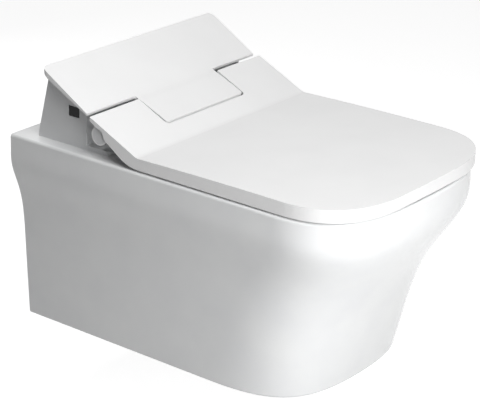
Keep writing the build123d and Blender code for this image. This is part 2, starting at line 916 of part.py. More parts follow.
def make_tip():
    """Removable nozzle tip with three spray holes on top."""
    tip = rod_x(wand_r, -wand_inset - tip_length, -wand_inset, 0, 0)
    tip -= rod_y(0.9, 0, wand_r + 1, -wand_inset - 5, 0)
    tip -= rod_y(0.9, 0, wand_r + 1, -wand_inset - 9, 0)
    tip -= rod_y(0.9, 0, wand_r + 1, -wand_inset - 13, 0)
    return nozzle_place(tip)


def make_nozzle_cover():
    """Cap on the end of the wand that closes the mouth when it is drawn in."""
    disc = rod_x(nozzle_cover_r, -wand_inset, -wand_inset + nozzle_cover_thickness, 0, 0)
    return nozzle_place(disc)


def make_rack():
    """Straight rack along the side of the wand."""
    pitch = pi * gear_module
    root = rack_pitch_v - 1.25 * gear_module
    crest = rack_pitch_v + gear_module
    slope = tan(radians(20))
    rear = -wand_inset - wand_length
    front = -pinion_back + 2 * pitch
    half = pitch / 4 - backlash / 2
    count = int((front - rear) / pitch)
    low = rack_pitch_v - rack_depth
    points = [(rear, low), (rear, root)]
    for i in range(count):
        centre = rear + (i + 0.6) * pitch
        points.append((centre - half - 1.25 * gear_module * slope, root))
        points.append((centre - half + gear_module * slope, crest))
        points.append((centre + half - gear_module * slope, crest))
        points.append((centre + half + 1.25 * gear_module * slope, root))
    end = rear + (count + 0.2) * pitch
    points += [(end, root), (end, low)]
    bar = Pos(0, 0, rack_inner) * extrude(polygon(points), rack_width)
    bar += box(rear, end, low, low + rack_web, wand_r / 2, rack_inner + 0.5)
    bar -= rod_x(wand_r, rear - 1, front + 20, 0, 0)
    return nozzle_place(bar)


def involute(radius, angle):
    """Point of an involute at a roll angle."""
    x = radius * (cos(angle) + angle * sin(angle))
    y = radius * (sin(angle) - angle * cos(angle))
    return x, y


def turn(point, angle):
    """Rotate a plane point about the origin."""
    x, y = point
    return x * cos(angle) - y * sin(angle), x * sin(angle) + y * cos(angle)


def pinion_face():
    """Spur gear outline with involute flanks."""
    pitch_r = gear_module * pinion_teeth / 2
    base_r = pitch_r * cos(radians(20))
    tip_r = pitch_r + gear_module
    root_r = pitch_r - 1.25 * gear_module
    roll = sqrt((tip_r / base_r) ** 2 - 1)
    lean = tan(radians(20)) - radians(20)
    half = pi / (2 * pinion_teeth) + lean - backlash / (2 * pitch_r)
    steps = [roll * i / 4 for i in range(5)]
    points = []
    for k in range(pinion_teeth):
        centre = 2 * pi * k / pinion_teeth
        flank = [turn(involute(base_r, t), -half) for t in steps]
        points.append(turn((root_r, 0), centre - pi / pinion_teeth * 0.62))
        points += [turn(p, centre) for p in flank]
        points += [turn((x, -y), centre) for x, y in reversed(flank)]
        points.append(turn((root_r, 0), centre + pi / pinion_teeth * 0.62))
    return polygon(points)


def pinion_centre():
    """Pinion axis in the nozzle line's own frame."""
    return -pinion_back, rack_pitch_v + gear_module * pinion_teeth / 2


def rack_phase():
    """Angle that sets a tooth gap of the pinion over the nearest rack tooth."""
    pitch = pi * gear_module
    rear = -wand_inset - wand_length
    offset = (-pinion_back - rear) / pitch - 0.6
    share = offset - round(offset)
    return -share * 2 * pi / pinion_teeth


def make_pinion():
    """Drive pinion on its short shaft, between the rack and the motor."""
    s, v = pinion_centre()
    gap_down = -pi / 2 + pi / pinion_teeth
    face = Rot(0, 0, (gap_down + rack_phase()) * 180 / pi) * pinion_face()
    gear = extrude(face, rack_width)
    gear += Cylinder(shaft_r, 6, align=(Align.CENTER, Align.CENTER, Align.MIN)).moved(Pos(0, 0, rack_width - 1))
    return nozzle_place(Pos(s, v, rack_inner) * gear)


def make_nozzle_motor():
    """Geared motor that turns the pinion, with a fixing ear to the base plate."""
    s, v = pinion_centre()
    start = rack_inner + rack_width + 1.0
    can = Pos(s, v, start) * Cylinder(motor_r, motor_length, align=(Align.CENTER, Align.CENTER, Align.MIN))
    can -= Pos(s, v, start - 1) * Cylinder(shaft_r + pin_clear, 6, align=(Align.CENTER, Align.CENTER, Align.MIN))
    motor = nozzle_place(can)
    centre = nozzle_place(Pos(s, v, 0) * Sphere(1)).center()
    bracket = box(
        -start - motor_length,
        -start - 3,
        centre.Y - motor_r * 0.7,
        centre.Y + motor_r * 0.7,
        base_thickness,
        centre.Z,
    )
    hollow = nozzle_place(Pos(s, v, start - 1) * Cylinder(shaft_r + 1, 7, align=(Align.CENTER, Align.CENTER, Align.MIN)))
    return motor + (bracket - hollow)


def make_nozzle_guide():
    """Guide tube of the wand with its slot for the rack and feet on the base plate."""
    tube = rod_x(wand_r + guide_clear + guide_wall, -guide_length - 8, -8, 0, 0)
    guide = nozzle_place(tube)
    foot_y = -block_front + 20
    for y in (foot_y, foot_y + 32):
        rise = mouth_z + (y + block_front) * tan(radians(nozzle_angle))
        guide += box(-7, 5, y - 3, y + 3, base_thickness, rise)
    guide -= nozzle_place(rod_x(wand_r + guide_clear, -guide_length - 30, 10, 0, 0))
    reach = -guide_length - 30
    slot = box(reach, 10, rack_pitch_v - rack_depth - guide_clear, wand_r + 12, wand_r / 2, rack_inner + rack_width + 9)
    return guide - nozzle_place(slot)


def make_heater():
    """Instant water heater."""
    x, y, z = heater_size
    block = box(heater_x - x / 2, heater_x + x / 2, heater_y - y / 2, heater_y + y / 2, base_thickness, z)
    return fillet(block.edges().filter_by(Axis.Z), 6)


def make_pump():
    """Small water pump, lying on its cradle."""
    z = base_thickness + pump_r + 3
    body = rod_y(pump_r, -cheek_front + 20, -cheek_front + 20 + pump_length, pump_x, z)
    cradle = box(pump_x - 10, pump_x + 10, -cheek_front + 24, -cheek_front + 16 + pump_length, base_thickness, z)
    return body + cradle


def make_valve():
    """Solenoid inlet valve over the service hole, with its coil on top."""
    x, y, z = valve_size
    block = box(-service_x - x / 2, -service_x + x / 2, -service_y - y / 2, -service_y + y / 2, base_thickness, z)
    return block + rod_z(coil_r, z, z + coil_r, -service_x, -service_y)


def make_water_inlet():
    """Water nipple that points down through the base plate into the service hole."""
    low = -plate_thickness
    nipple = rod_z(inlet_nipple_r, low, base_thickness, -inlet_nipple_x, -service_y)
    return nipple - rod_z(inlet_nipple_r - 2, low - 1, base_thickness - 2, -inlet_nipple_x, -service_y)


def make_power_inlet():
    """Gland of the mains inlet beside the water nipple."""
    low = -plate_thickness / 2
    gland = rod_z(gland_r, low, base_thickness, -gland_x, -service_y)
    return gland - rod_z(gland_r - 2, low - 1, base_thickness - 2, -gland_x, -service_y)


def make_board():
    """Control board with its transformer and connectors."""
    x, y, t = board_size
    board = box(board_x - x / 2, board_x + x / 2, board_y - y / 2, board_y + y / 2, board_z, board_z + t)
    block = box(board_x - 24, board_x - 6, board_y - 4, board_y + 16, board_z + t, board_z + t + 12)
    plug = box(board_x + 6, board_x + 26, board_y - 2, board_y + 6, board_z + t, board_z + t + 7)
    for px in (board_x - x / 2 + 5, board_x + x / 2 - 5):
        board += rod_z(2.5, base_thickness, board_z, px, board_y + y / 2 - 5)
    return board + block + plug


def side_key(gap, reach):
    """Block of the key in the left cheek; with a gap it is the key's opening."""
    return box(
        -housing_half - reach,
        -housing_half + key_depth,
        -key_y - key_width / 2 - gap,
        -key_y + key_width / 2 + gap,
        key_z - key_height / 2 - gap,
        key_z + key_height / 2 + gap,
    )


def make_side_key():
    """Black on and off key, flush with the left cheek."""
    key = side_key(0, 0)
    return fillet(key.edges().filter_by(Axis.X), key_round)


def make_key_switch():
    """Switch body behind the key."""
    deep, wide, tall = switch_size
    start = -housing_half + key_depth + key_travel + key_clear
    body = box(start, start + deep, -key_y - wide / 2, -key_y + wide / 2, key_z - tall / 2, key_z + tall / 2)
    post = box(start + deep - 3, start + deep, -key_y - 2, -key_y + 2, base_thickness, key_z)
    return body + post


def make_screws():
    """Housing screws."""
    screws = []
    for x, y in screw_places():
        head = rod_z(screw_head_r, 0.4, base_thickness / 3, x, y)
        screws.append(head + rod_z(screw_r, 0.4, base_thickness + 10, x, y))
    return Compound(children=screws)


def make_release_button():
    """Button in the right cheek."""
    width, tall = button_size
    outer = housing_half + button_stand
    cap = box(
        housing_half - housing_wall - 1,
        outer,
        -button_y - width / 2,
        -button_y + width / 2,
        button_z - tall / 2,
        button_z + tall / 2,
    )
    return fillet(cap.faces().sort_by(Axis.X)[-1].edges(), 1.2)


def make_latch_bar():
    """Bar behind the button, with the hook that drops into the mounting plate."""
    end = housing_half - housing_wall - 1
    half = latch_bar / 2
    bar = box(latch_x, end, -button_y - half, -button_y + half, button_z - half, button_z + half)
    hook = box(
        latch_x,
        latch_x + latch_height,
        -button_y - latch_width / 2,
        -button_y + latch_width / 2,
        0.6,
        button_z + half,
    )
    return bar + hook


def make_latch_spring():
    """Return spring of the latch, in its seat on the base plate."""
    start = latch_x + 40
    sleeve = rod_x(spring_r, start, start + spring_length, -button_y, button_z)
    sleeve -= rod_x(latch_bar * 0.75, start - 1, start + spring_length + 1, -button_y, button_z)
    post = box(start, start + 4, -button_y - spring_r, -button_y + spring_r, base_thickness, button_z)
    return sleeve + (post - rod_x(spring_r, start - 1, start + 5, -button_y, button_z))


nodes = {
    "pan": make_pan(),
    "wall_bolt_sleeves": make_sleeves(),
    "service_grommet": make_grommet(),
    "mounting_plate": make_mounting_plate(),
    "seat_bolts": make_seat_bolts(),
    "seat_bolt_washers": make_washers(),
    "seat_bolt_nuts": make_nuts(),
    "base_plate": make_base_plate(),
    "housing": make_housing(),
    "top_cover": make_top_cover(),
    "housing_screws": make_screws(),
    "side_key": make_side_key(),
    "key_switch": make_key_switch(),
    "control_board": make_board(),
    "water_heater": make_heater(),
    "water_pump": make_pump(),
    "inlet_valve": make_valve(),
    "water_inlet": make_water_inlet(),
    "power_inlet": make_power_inlet(),
    "nozzle_guide": make_nozzle_guide(),
    "nozzle_motor": make_nozzle_motor(),
    "drive_pinion": make_pinion(),
    "nozzle_wand": make_wand(),
    "nozzle_tip": make_tip(),
    "nozzle_cover": make_nozzle_cover(),
    "nozzle_rack": make_rack(),
    "release_button": make_release_button(),
    "latch_bar": make_latch_bar(),
    "latch_spring": make_latch_spring(),
    "lid_damper": make_damper(-1),
    "seat_damper": make_damper(1),
    "lid_hinge_pin": make_pin(-1),
    "seat_hinge_pin": make_pin(1),
    "seat": make_seat(),
    "seat_buffers": make_seat_buffers(),
    "lid": make_lid(),
    "lid_buffers": make_lid_buffers(),
    "hinge_caps": make_hinge_caps(),
}

for name, shape in nodes.items():
    export_step(Pos(0, 0, rim_height) * shape, f"parts/{name}.step")
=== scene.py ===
"""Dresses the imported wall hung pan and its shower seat, and sets the studio around them."""

import json
import math

import bmesh
import bpy
from mathutils import Matrix, Vector

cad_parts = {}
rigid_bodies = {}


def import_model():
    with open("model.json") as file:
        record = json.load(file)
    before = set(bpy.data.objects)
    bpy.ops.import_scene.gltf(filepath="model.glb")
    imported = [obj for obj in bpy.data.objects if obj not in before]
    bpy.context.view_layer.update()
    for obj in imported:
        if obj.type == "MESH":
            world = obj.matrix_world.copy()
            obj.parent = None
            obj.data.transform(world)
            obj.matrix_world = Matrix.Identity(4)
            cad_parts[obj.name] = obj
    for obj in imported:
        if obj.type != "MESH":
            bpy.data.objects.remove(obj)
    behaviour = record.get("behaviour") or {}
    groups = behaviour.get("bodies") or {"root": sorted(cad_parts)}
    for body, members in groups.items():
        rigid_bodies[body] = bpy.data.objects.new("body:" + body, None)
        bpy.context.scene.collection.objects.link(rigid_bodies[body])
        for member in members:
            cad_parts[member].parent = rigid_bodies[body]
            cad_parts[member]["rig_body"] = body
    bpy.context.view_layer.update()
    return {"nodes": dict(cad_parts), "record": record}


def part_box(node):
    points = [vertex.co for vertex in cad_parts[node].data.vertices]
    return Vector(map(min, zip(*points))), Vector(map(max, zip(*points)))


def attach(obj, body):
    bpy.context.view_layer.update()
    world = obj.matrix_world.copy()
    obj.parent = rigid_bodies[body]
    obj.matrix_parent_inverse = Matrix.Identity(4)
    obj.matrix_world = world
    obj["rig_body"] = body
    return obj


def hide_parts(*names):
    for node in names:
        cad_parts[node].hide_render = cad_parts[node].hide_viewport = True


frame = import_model()

bl_info = {
    "name": "Wall Hung Pan with Shower Seat",
    "version": (1, 0, 0),
    "blender": (4, 5, 0),
    "location": "3D View > Sidebar > Wall Pan",
    "description": "Finishes and detail for a wall hung pan with a shower seat",
    "category": "Object",
}

MM = 0.001
NODES = frame["nodes"]
# Line of the lid in mm: where its kink ends, its front, its edge height and the rise of its crown
LID_LINE = (232.2, 567.0, 99.3, 1.9)
# Tongue of the cover in mm: where it starts, how far it takes to rise, and how far it stands above the lid
TONGUE_LINE = (137.0, 15.0, 0.8)
# Step in mm of the cuts that carry a curve across the lid and along the tongue
LID_STEP = 12
TONGUE_STEP = 3
# Points closer than this count as one
JOIN = 0.004 * MM
# Height of the rim above the frame's origin, which lies between the wall bolts
RIM = 80 * MM
# Half width of the floor in metres
FLOOR_REACH = 12.0
# What the lights look at
AIM = Vector((0, -0.3, -0.03))
# Camera fitted to the photograph: lens in mm, azimuth, elevation and roll in degrees, place in metres
CAMERA_LENS = 135.04
CAMERA_ANGLES = (-53.01, 21.885, 1.641)
CAMERA_PLACE = (-1.87597, -1.67228, 0.92982)
# Wire radius, turns and foot of the latch spring, in mm where they are lengths
WIRE = 0.6
TURNS = 7.0
FOOT_WIDTH = 4


def linear(code):
    """Linear colour with alpha from an sRGB hex value."""
    shares = [int(code[i : i + 2], 16) / 255 for i in (1, 3, 5)]
    return tuple(c / 12.92 if c <= 0.04045 else ((c + 0.055) / 1.055) ** 2.4 for c in shares) + (1.0,)


def per_mm(size):
    """Scale of a pattern whose features are this many millimetres across."""
    return 1 / (size * MM)


def add(tree, kind, settings=None, **inputs):
    """Add a node, set its properties, and set or link its inputs."""
    made = tree.nodes.new(kind)
    for key, value in (settings or {}).items():
        setattr(made, key, value)
    for key, value in inputs.items():
        by_place = key[0] == "i" and key[1:].isdigit()
        socket = made.inputs[int(key[1:]) if by_place else key.replace("_", " ")]
        if isinstance(value, bpy.types.NodeSocket):
            tree.links.new(value, socket)
        else:
            socket.default_value = value
    return made


def new_material(name):
    """Empty material with a Principled shader and object coordinates."""
    material = bpy.data.materials.new(name)
    material.use_nodes = True
    tree = material.node_tree
    tree.nodes.clear()
    output = add(tree, "ShaderNodeOutputMaterial")
    shader = add(tree, "ShaderNodeBsdfPrincipled")
    tree.links.new(shader.outputs[0], output.inputs[0])
    place = add(tree, "ShaderNodeTexCoord").outputs["Object"]
    return material, tree, shader, place


def patterned(name, tones, tone_mm, gloss, gloss_mm, relief_mm, relief, stretch=(1, 1, 1), **sockets):
    """Material with a soft drift of colour, a drift of gloss and a fine relief."""
    material, tree, shader, place = new_material(name)
    place = add(tree, "ShaderNodeMapping", Vector=place, Scale=stretch).outputs[0]
    drift = add(tree, "ShaderNodeTexNoise", Vector=place, Scale=per_mm(tone_mm), Detail=3.0)
    ramp = add(tree, "ShaderNodeValToRGB", Fac=drift.outputs[0])
    ramp.color_ramp.elements[0].position = 0.3
    ramp.color_ramp.elements[1].position = 0.7
    for element, tone in zip(ramp.color_ramp.elements, tones):
        element.color = linear(tone) if isinstance(tone, str) else tone
    haze = add(tree, "ShaderNodeTexNoise", Vector=place, Scale=per_mm(gloss_mm), Detail=2.0)
    rough = add(tree, "ShaderNodeMapRange", Value=haze.outputs[0], To_Min=gloss[0], To_Max=gloss[1])
    grain = add(tree, "ShaderNodeTexNoise", Vector=place, Scale=per_mm(relief_mm), Detail=2.0)
    bump = add(tree, "ShaderNodeBump", Height=grain.outputs[0], Strength=1.0, Distance=relief * MM)
    tree.links.new(ramp.outputs[0], shader.inputs["Base Color"])
    tree.links.new(rough.outputs[0], shader.inputs["Roughness"])
    tree.links.new(bump.outputs[0], shader.inputs["Normal"])
    for key, value in sockets.items():
        shader.inputs[key.replace("_", " ")].default_value = value
    return material


class PanFinish(bpy.types.PropertyGroup):
    """Finish of the glazed china."""

    china: bpy.props.FloatVectorProperty(
        name="China", description="Colour of the glazed china", size=4, subtype="COLOR", default=linear("#F1F2F2")
    )


class SeatFinish(bpy.types.PropertyGroup):
    """Finish and edges of the lid, the cover and the housing."""

    lid: bpy.props.FloatVectorProperty(
        name="Lid",
        description="Colour of the lid, seat and cover",
        size=4,
        subtype="COLOR",
        default=linear("#F2F2F2"),
    )
    housing: bpy.props.FloatVectorProperty(
        name="Housing", description="Colour of the housing", size=4, subtype="COLOR", default=linear("#DCDDDE")
    )
    edge: bpy.props.FloatProperty(
        name="Edge round",
        description="Radius of the moulded edges",
        default=0.8 * MM,
        unit="LENGTH",
        subtype="DISTANCE",
    )


class StudioSettings(bpy.types.PropertyGroup):
    """Floor and lights."""

    rim_to_floor: bpy.props.FloatProperty(
        name="Rim above floor", description="Height of the rim above the floor", default=0.41, unit="LENGTH"
    )
    low_front: bpy.props.FloatProperty(
        name="Low front", description="Power of the low light in front", default=10.7, unit="POWER"
    )
    high_front: bpy.props.FloatProperty(
        name="High front", description="Power of the high light in front", default=10.5, unit="POWER"
    )
    left: bpy.props.FloatProperty(
        name="Left", description="Power of the light above the left side", default=3.9, unit="POWER"
    )
    overhead: bpy.props.FloatProperty(
        name="Overhead", description="Power of the light above the wall side", default=9.9, unit="POWER"
    )
    rear: bpy.props.FloatProperty(
        name="Rear", description="Power of the light on the wall side", default=4.0, unit="POWER"
    )
    ambient: bpy.props.FloatProperty(
        name="Ambient", description="Strength of the light all round", default=0.0, min=0.0
    )


FINISHES = {}


def finish(slot):
    """Material of a record slot, made the first time it is asked for."""
    if slot in FINISHES:
        return FINISHES[slot]
    pan = bpy.context.scene.pan_finish
    seat = bpy.context.scene.seat_finish
    if slot == "glazed_china":
        # Vitreous china under a fired glaze: a deep, slightly wavy gloss over a cool white body
        made = patterned(
            "glazed_vitreous_china", ("#ECEDEE", pan.china), 70, (0.05, 0.1), 30, 22, 0.05, IOR=1.52
        )
    elif slot == "white_plastic":
        # Polished urea moulding: dense white with a clean, faintly softer gloss than the china
        made = patterned(
            "polished_urea_moulding", ("#EFEFEF", seat.lid), 90, (0.16, 0.22), 25, 6, 0.008, IOR=1.5
        )
    elif slot == "housing_plastic":
        # Injection moulded ABS with a satin spark-eroded surface: light grey without sharp reflections
        made = patterned(
            "satin_moulded_abs", ("#D8D9DA", seat.housing), 40, (0.36, 0.44), 8, 0.9, 0.02, IOR=1.5
        )
    elif slot == "black_plastic":
        # Polished black polycarbonate
        made = patterned(
            "polished_black_polycarbonate", ("#070708", "#0B0B0C"), 12, (0.2, 0.3), 5, 0.8, 0.004,
            Specular_IOR_Level=0.2,
        )
    elif slot == "grey_plastic":
        # Glass filled nylon: dull mid grey with a fine fibre grain
        made = patterned(
            "glass_filled_nylon", ("#6E7174", "#7A7D80"), 3, (0.45, 0.6), 2, 0.7, 0.03, stretch=(1, 3, 1), IOR=1.53
        )
    elif slot == "clear_rubber":
        # Milky silicone rubber: soft, translucent, slightly greasy sheen
        made = patterned(
            "milky_silicone_rubber", ("#D6D8D8", "#E0E2E2"), 6, (0.3, 0.42), 3, 0.8, 0.01, IOR=1.41,
            Subsurface_Weight=0.2, Subsurface_Scale=0.002,
        )
    elif slot == "black_rubber":
        # Moulded EPDM rubber: matt black with a fine dusty grain
        made = patterned("moulded_epdm_rubber", ("#161616", "#1E1E1E"), 5, (0.6, 0.75), 3, 0.6, 0.03, IOR=1.5)
    elif slot == "stainless":
        # Brushed stainless steel: fine lines along X
        made = patterned(
            "brushed_stainless_steel", ("#B9BABC", "#C6C7C9"), 20, (0.24, 0.36), 0.6, 0.6, 0.006,
            stretch=(0.05, 1, 1), Metallic=1.0,
        )
    elif slot == "zinc_steel":
        # Zinc plated steel: pale grey with a cloudy spangle
        made = patterned(
            "zinc_plated_steel", ("#A9ADB1", "#BFC2C4"), 2.5, (0.28, 0.42), 1.5, 0.8, 0.006, Metallic=1.0
        )
    elif slot == "brass":
        # Turned brass with faint rings
        made = patterned("turned_brass", ("#B5904C", "#C29E5C"), 8, (0.2, 0.32), 1, 0.5, 0.005, Metallic=1.0)
    elif slot == "circuit_board":
        # Solder mask over woven glass: green with a fine weave
        made = patterned("solder_masked_board", ("#12492E", "#1A5C3B"), 3, (0.25, 0.35), 2, 0.8, 0.02, IOR=1.55)
    else:
        # Natural white nylon: waxy and a little translucent
        made = patterned(
            "natural_white_nylon", ("#E3E1DA", "#EAE8E2"), 12, (0.3, 0.4), 4, 0.9, 0.01, IOR=1.53,
            Subsurface_Weight=0.1, Subsurface_Scale=0.001,
        )
    FINISHES[slot] = made
    return made


def slot_of(node):
    """Material slot that the record gives a CAD node."""
    return next(row["material_slot"] for row in frame["record"]["subparts"] if row["node"] == node)


def coat(*names):
    """Give carried-over CAD nodes the finish of their slots."""
    for name in names:
        piece = NODES[name]
        material = finish(slot_of(name))
        if not piece.material_slots:
            piece.data.materials.append(material)
        for slot in piece.material_slots:
            slot.material = material


def lid_crown(spot):
    """Height of a point of the lid, set on the shallow arc between the kink and the front."""
    rear, front, edge, rise = (v * MM for v in LID_LINE)
    if spot.y > -rear:
        return spot.z
    half = (front - rear) / 2
    radius = (half**2 + rise**2) / (2 * rise)
    across = spot.y + (front + rear) / 2
    crown = edge + rise - radius + math.sqrt(radius**2 - across**2)
    return crown if abs(spot.z - crown) < 0.3 * MM else spot.z


def tongue_lift(spot):
    """Height of a point of the cover, whose tongue stands a little above the lid."""
    start, length, lift = (v * MM for v in TONGUE_LINE)
    share = min(max((-start - spot.y) / length, 0), 1)
    return spot.z + lift * share * share * (3 - 2 * share)


def body_of(node):
    """CAD body that a node belongs to."""
    return NODES[node]["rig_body"]


def place(mesh, name, node):
    """Make a finished piece of a mesh, which replaces a CAD node and rides on its body."""
    mesh.name = name
    piece = bpy.data.objects.new(name, mesh)
    bpy.context.scene.collection.objects.link(piece)
    mesh.materials.clear()
    mesh.materials.append(finish(slot_of(node)))
    for face in mesh.polygons:
        face.material_index = 0
    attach(piece, body_of(node))
    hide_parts(node)
    slot_of(node)
    return piece


def merged(node, cuts=(), height=None):
    """Merged copy of a CAD node with its flat faces joined, cut across at the given y, and with
    its points set to what the height function gives."""
    mesh = bpy.data.meshes.new(node)
    bm = bmesh.new()
    bm.from_mesh(NODES[node].data)
    bmesh.ops.remove_doubles(bm, verts=bm.verts, dist=JOIN)
    bmesh.ops.dissolve_limit(bm, angle_limit=math.radians(0.05), verts=bm.verts, edges=bm.edges)
    for y in cuts:
        parts = [*bm.verts, *bm.edges, *bm.faces]
        bmesh.ops.bisect_plane(bm, geom=parts, dist=0.001 * MM, plane_co=(0, y, 0), plane_no=(0, 1, 0))
    if height:
        for vert in bm.verts:
            vert.co.z = height(vert.co)
    for face in bm.faces:
        face.smooth = True
    bm.to_mesh(mesh)
    bm.free()
    mesh.set_sharp_from_angle(angle=math.radians(28))
    return mesh


def evaluated(mesh, name, *modifiers):
    """Plain mesh that the given modifiers make of a mesh."""
    helper = bpy.data.objects.new(name, mesh)
    bpy.context.scene.collection.objects.link(helper)
    for kind, settings in modifiers:
        modifier = helper.modifiers.new(kind, kind)
        for key, value in settings.items():
            setattr(modifier, key, value)
    graph = bpy.context.evaluated_depsgraph_get()
    made = bpy.data.meshes.new_from_object(helper.evaluated_get(graph))
    bpy.data.objects.remove(helper)
    return made


def softened(node, name, width, segments=3, angle=35, **form):
    """Copy of a CAD node with its moulded edges rounded."""
    bevel = {
        "width": width,
        "segments": segments,
        "limit_method": "ANGLE",
        "angle_limit": math.radians(angle),
        "use_clamp_overlap": True,
    }
    weighted = {"weight": 60, "keep_sharp": True}
    mesh = merged(node, **form)
    return place(evaluated(mesh, name, ("BEVEL", bevel), ("WEIGHTED_NORMAL", weighted)), name, node)


def solids_of(node):
    """Lowest and highest corner of each separate solid of a CAD node."""
    bm = bmesh.new()
    bm.from_mesh(NODES[node].data)
    bmesh.ops.remove_doubles(bm, verts=bm.verts, dist=JOIN)
    left = set(bm.verts)
    boxes = []
    while left:
        waiting = [left.pop()]
        found = []
        while waiting:
            vert = waiting.pop()
            found.append(vert.co.copy())
            near = {edge.other_vert(vert) for edge in vert.link_edges} & left
            left -= near
            waiting.extend(near)
        corners = [Vector([pick(c[i] for c in found) for i in range(3)]) for pick in (min, max)]
        boxes.append(corners)
    bm.free()
    return boxes


def turned(name, profile, steps=28, ring=False):
    """Solid turned about Z from (radius, height) pairs in mm, or a ring from a closed profile."""
    bm = bmesh.new()
    rows = []
    for radius, height in profile:
        turns = steps if radius else 1
        angles = [2 * math.pi * i / turns for i in range(turns)]
        points = [(radius * math.cos(a), radius * math.sin(a), height) for a in angles]
        rows.append([bm.verts.new(Vector(point) * MM) for point in points])
    for low, high in zip(rows, rows[1:] + rows[:1] if ring else rows[1:]):
        for i in range(steps):
            j = (i + 1) % steps
            corners = (low[i % len(low)], low[j % len(low)], high[j % len(high)], high[i % len(high)])
            bm.faces.new(list(dict.fromkeys(corners)))
    for face in bm.faces:
        face.smooth = True
    mesh = bpy.data.meshes.new(name)
    bm.to_mesh(mesh)
    bm.free()
    mesh.set_sharp_from_angle(angle=math.radians(40))
    return mesh


def thread(radius, depth, start, end, pitch):
    """Ridges of a screw thread as (radius, height) pairs."""
    pairs = []
    for i in range(int((end - start) / pitch)):
        base = start + i * pitch
        pairs += [(radius - depth, base), (radius, base + pitch * 0.45), (radius, base + pitch * 0.55)]
    return pairs + [(radius - depth, end)]


def new_tree(name, sockets):
    """Empty geometry node tree with the named inputs."""
    tree = bpy.data.node_groups.new(name, "GeometryNodeTree")
    for label, kind in sockets:
        tree.interface.new_socket(label, in_out="INPUT", socket_type=f"NodeSocket{kind}")
    tree.interface.new_socket("Pieces", in_out="OUTPUT", socket_type="NodeSocketGeometry")
    return tree, add(tree, "NodeGroupInput").outputs


def close_tree(tree, geometry, material):
    """End a tree in Realize Instances and Set Material."""
    solid = add(tree, "GeometryNodeRealizeInstances", Geometry=geometry)
    coated = add(tree, "GeometryNodeSetMaterial", Geometry=solid.outputs[0], Material=material)
    add(tree, "NodeGroupOutput", Pieces=coated.outputs[0])
    return tree


def repeat_tree():
    """Tree that sets one unit at every point of a mesh."""
    sockets = (("Places", "Geometry"), ("Unit", "Object"), ("Size", "Float"), ("Finish", "Material"))
    tree, given = new_tree("units_at_places", sockets)
    unit = add(tree, "GeometryNodeObjectInfo", Object=given["Unit"])
    size = add(tree, "ShaderNodeCombineXYZ", X=given["Size"], Y=given["Size"], Z=given["Size"])
    placed = add(
        tree, "GeometryNodeInstanceOnPoints", Points=given["Places"], Instance=unit.outputs["Geometry"],
        Scale=size.outputs[0],
    )
    return close_tree(tree, placed.outputs[0], given["Finish"])


def coil_tree():
    """Tree that winds a wire into a coil spring along Z."""
    sockets = (
        ("Host", "Geometry"), ("Turns", "Float"), ("Radius", "Float"), ("Length", "Float"), ("Wire", "Float"),
        ("Finish", "Material"),
    )
    tree, given = new_tree("coil_spring", sockets)
    line = add(
        tree, "GeometryNodeCurveSpiral", Resolution=24, Rotations=given["Turns"], Start_Radius=given["Radius"],
        End_Radius=given["Radius"], Height=given["Length"],
    )
    wire = add(tree, "GeometryNodeCurvePrimitiveCircle", Resolution=8, Radius=given["Wire"])
    coil = add(
        tree, "GeometryNodeCurveToMesh", Curve=line.outputs[0], Profile_Curve=wire.outputs[0], Fill_Caps=True
    )
    return close_tree(tree, coil.outputs[0], given["Finish"])


def grown(tree, host, values):
    """Plain mesh that a geometry node tree makes of a host mesh."""
    helper = bpy.data.objects.new(tree.name, host)
    bpy.context.scene.collection.objects.link(helper)
    modifier = helper.modifiers.new(tree.name, "NODES")
    modifier.node_group = tree
    for item in tree.interface.items_tree:
        if item.in_out == "INPUT" and item.name in values:
            modifier[item.identifier] = values[item.name]
    graph = bpy.context.evaluated_depsgraph_get()
    made = bpy.data.meshes.new_from_object(helper.evaluated_get(graph))
    bpy.data.objects.remove(helper)
    return made


def repeated(node, name, unit_mesh):
    """One like piece in the place of each solid of a CAD node, standing on its lowest point."""
    places = bpy.data.meshes.new(name)
    spots = [((low.x + high.x) / 2, (low.y + high.y) / 2, low.z) for low, high in solids_of(node)]
    places.from_pydata(sorted(spots), [], [])
    unit = bpy.data.objects.new(name, unit_mesh)
    bpy.context.scene.collection.objects.link(unit)
    made = grown(repeat_tree(), places, {"Unit": unit, "Size": 1.0, "Finish": finish(slot_of(node))})
    bpy.data.objects.remove(unit)
    return place(made, name, node)


def latch_coil():
    """Coil of the release latch along X, with the small block that it seats on."""
    low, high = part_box("latch_spring")
    middle_y = (low.y + high.y) / 2
    wire = WIRE * MM
    radius = (high.y - low.y) / 2 - wire
    axis_z = high.z - radius - wire
    values = {
        "Turns": TURNS,
        "Radius": radius,
        "Length": high.x - low.x - 2 * wire,
        "Wire": wire,
        "Finish": finish(slot_of("latch_spring")),
    }
    coil = grown(coil_tree(), bpy.data.meshes.new("spring_host"), values)
    coil.transform(Matrix.Translation((low.x + wire, middle_y, axis_z)) @ Matrix.Rotation(math.pi / 2, 4, "Y"))
    bm = bmesh.new()
    bm.from_mesh(coil)
    seat = bmesh.ops.create_cube(bm, size=1.0)["verts"]
    span = Vector((FOOT_WIDTH * MM, high.y - low.y, axis_z - radius - wire - low.z))
    middle = Vector((low.x + span.x / 2, middle_y, low.z + span.z / 2))
    bmesh.ops.transform(bm, matrix=Matrix.Translation(middle) @ Matrix.Diagonal((*span, 1)), verts=seat)
    edges = list({edge for vert in seat for edge in vert.link_edges})
    bmesh.ops.bevel(bm, geom=edges, offset=0.5 * MM, segments=2, affect="EDGES", profile=0.5)
    bm.to_mesh(coil)
    bm.free()
    return coil


def either(tree, first, second):
    """Output that is 1 where either of two light path outputs is."""
    return add(tree, "ShaderNodeMath", {"operation": "MAXIMUM"}, i0=first, i1=second).outputs[0]


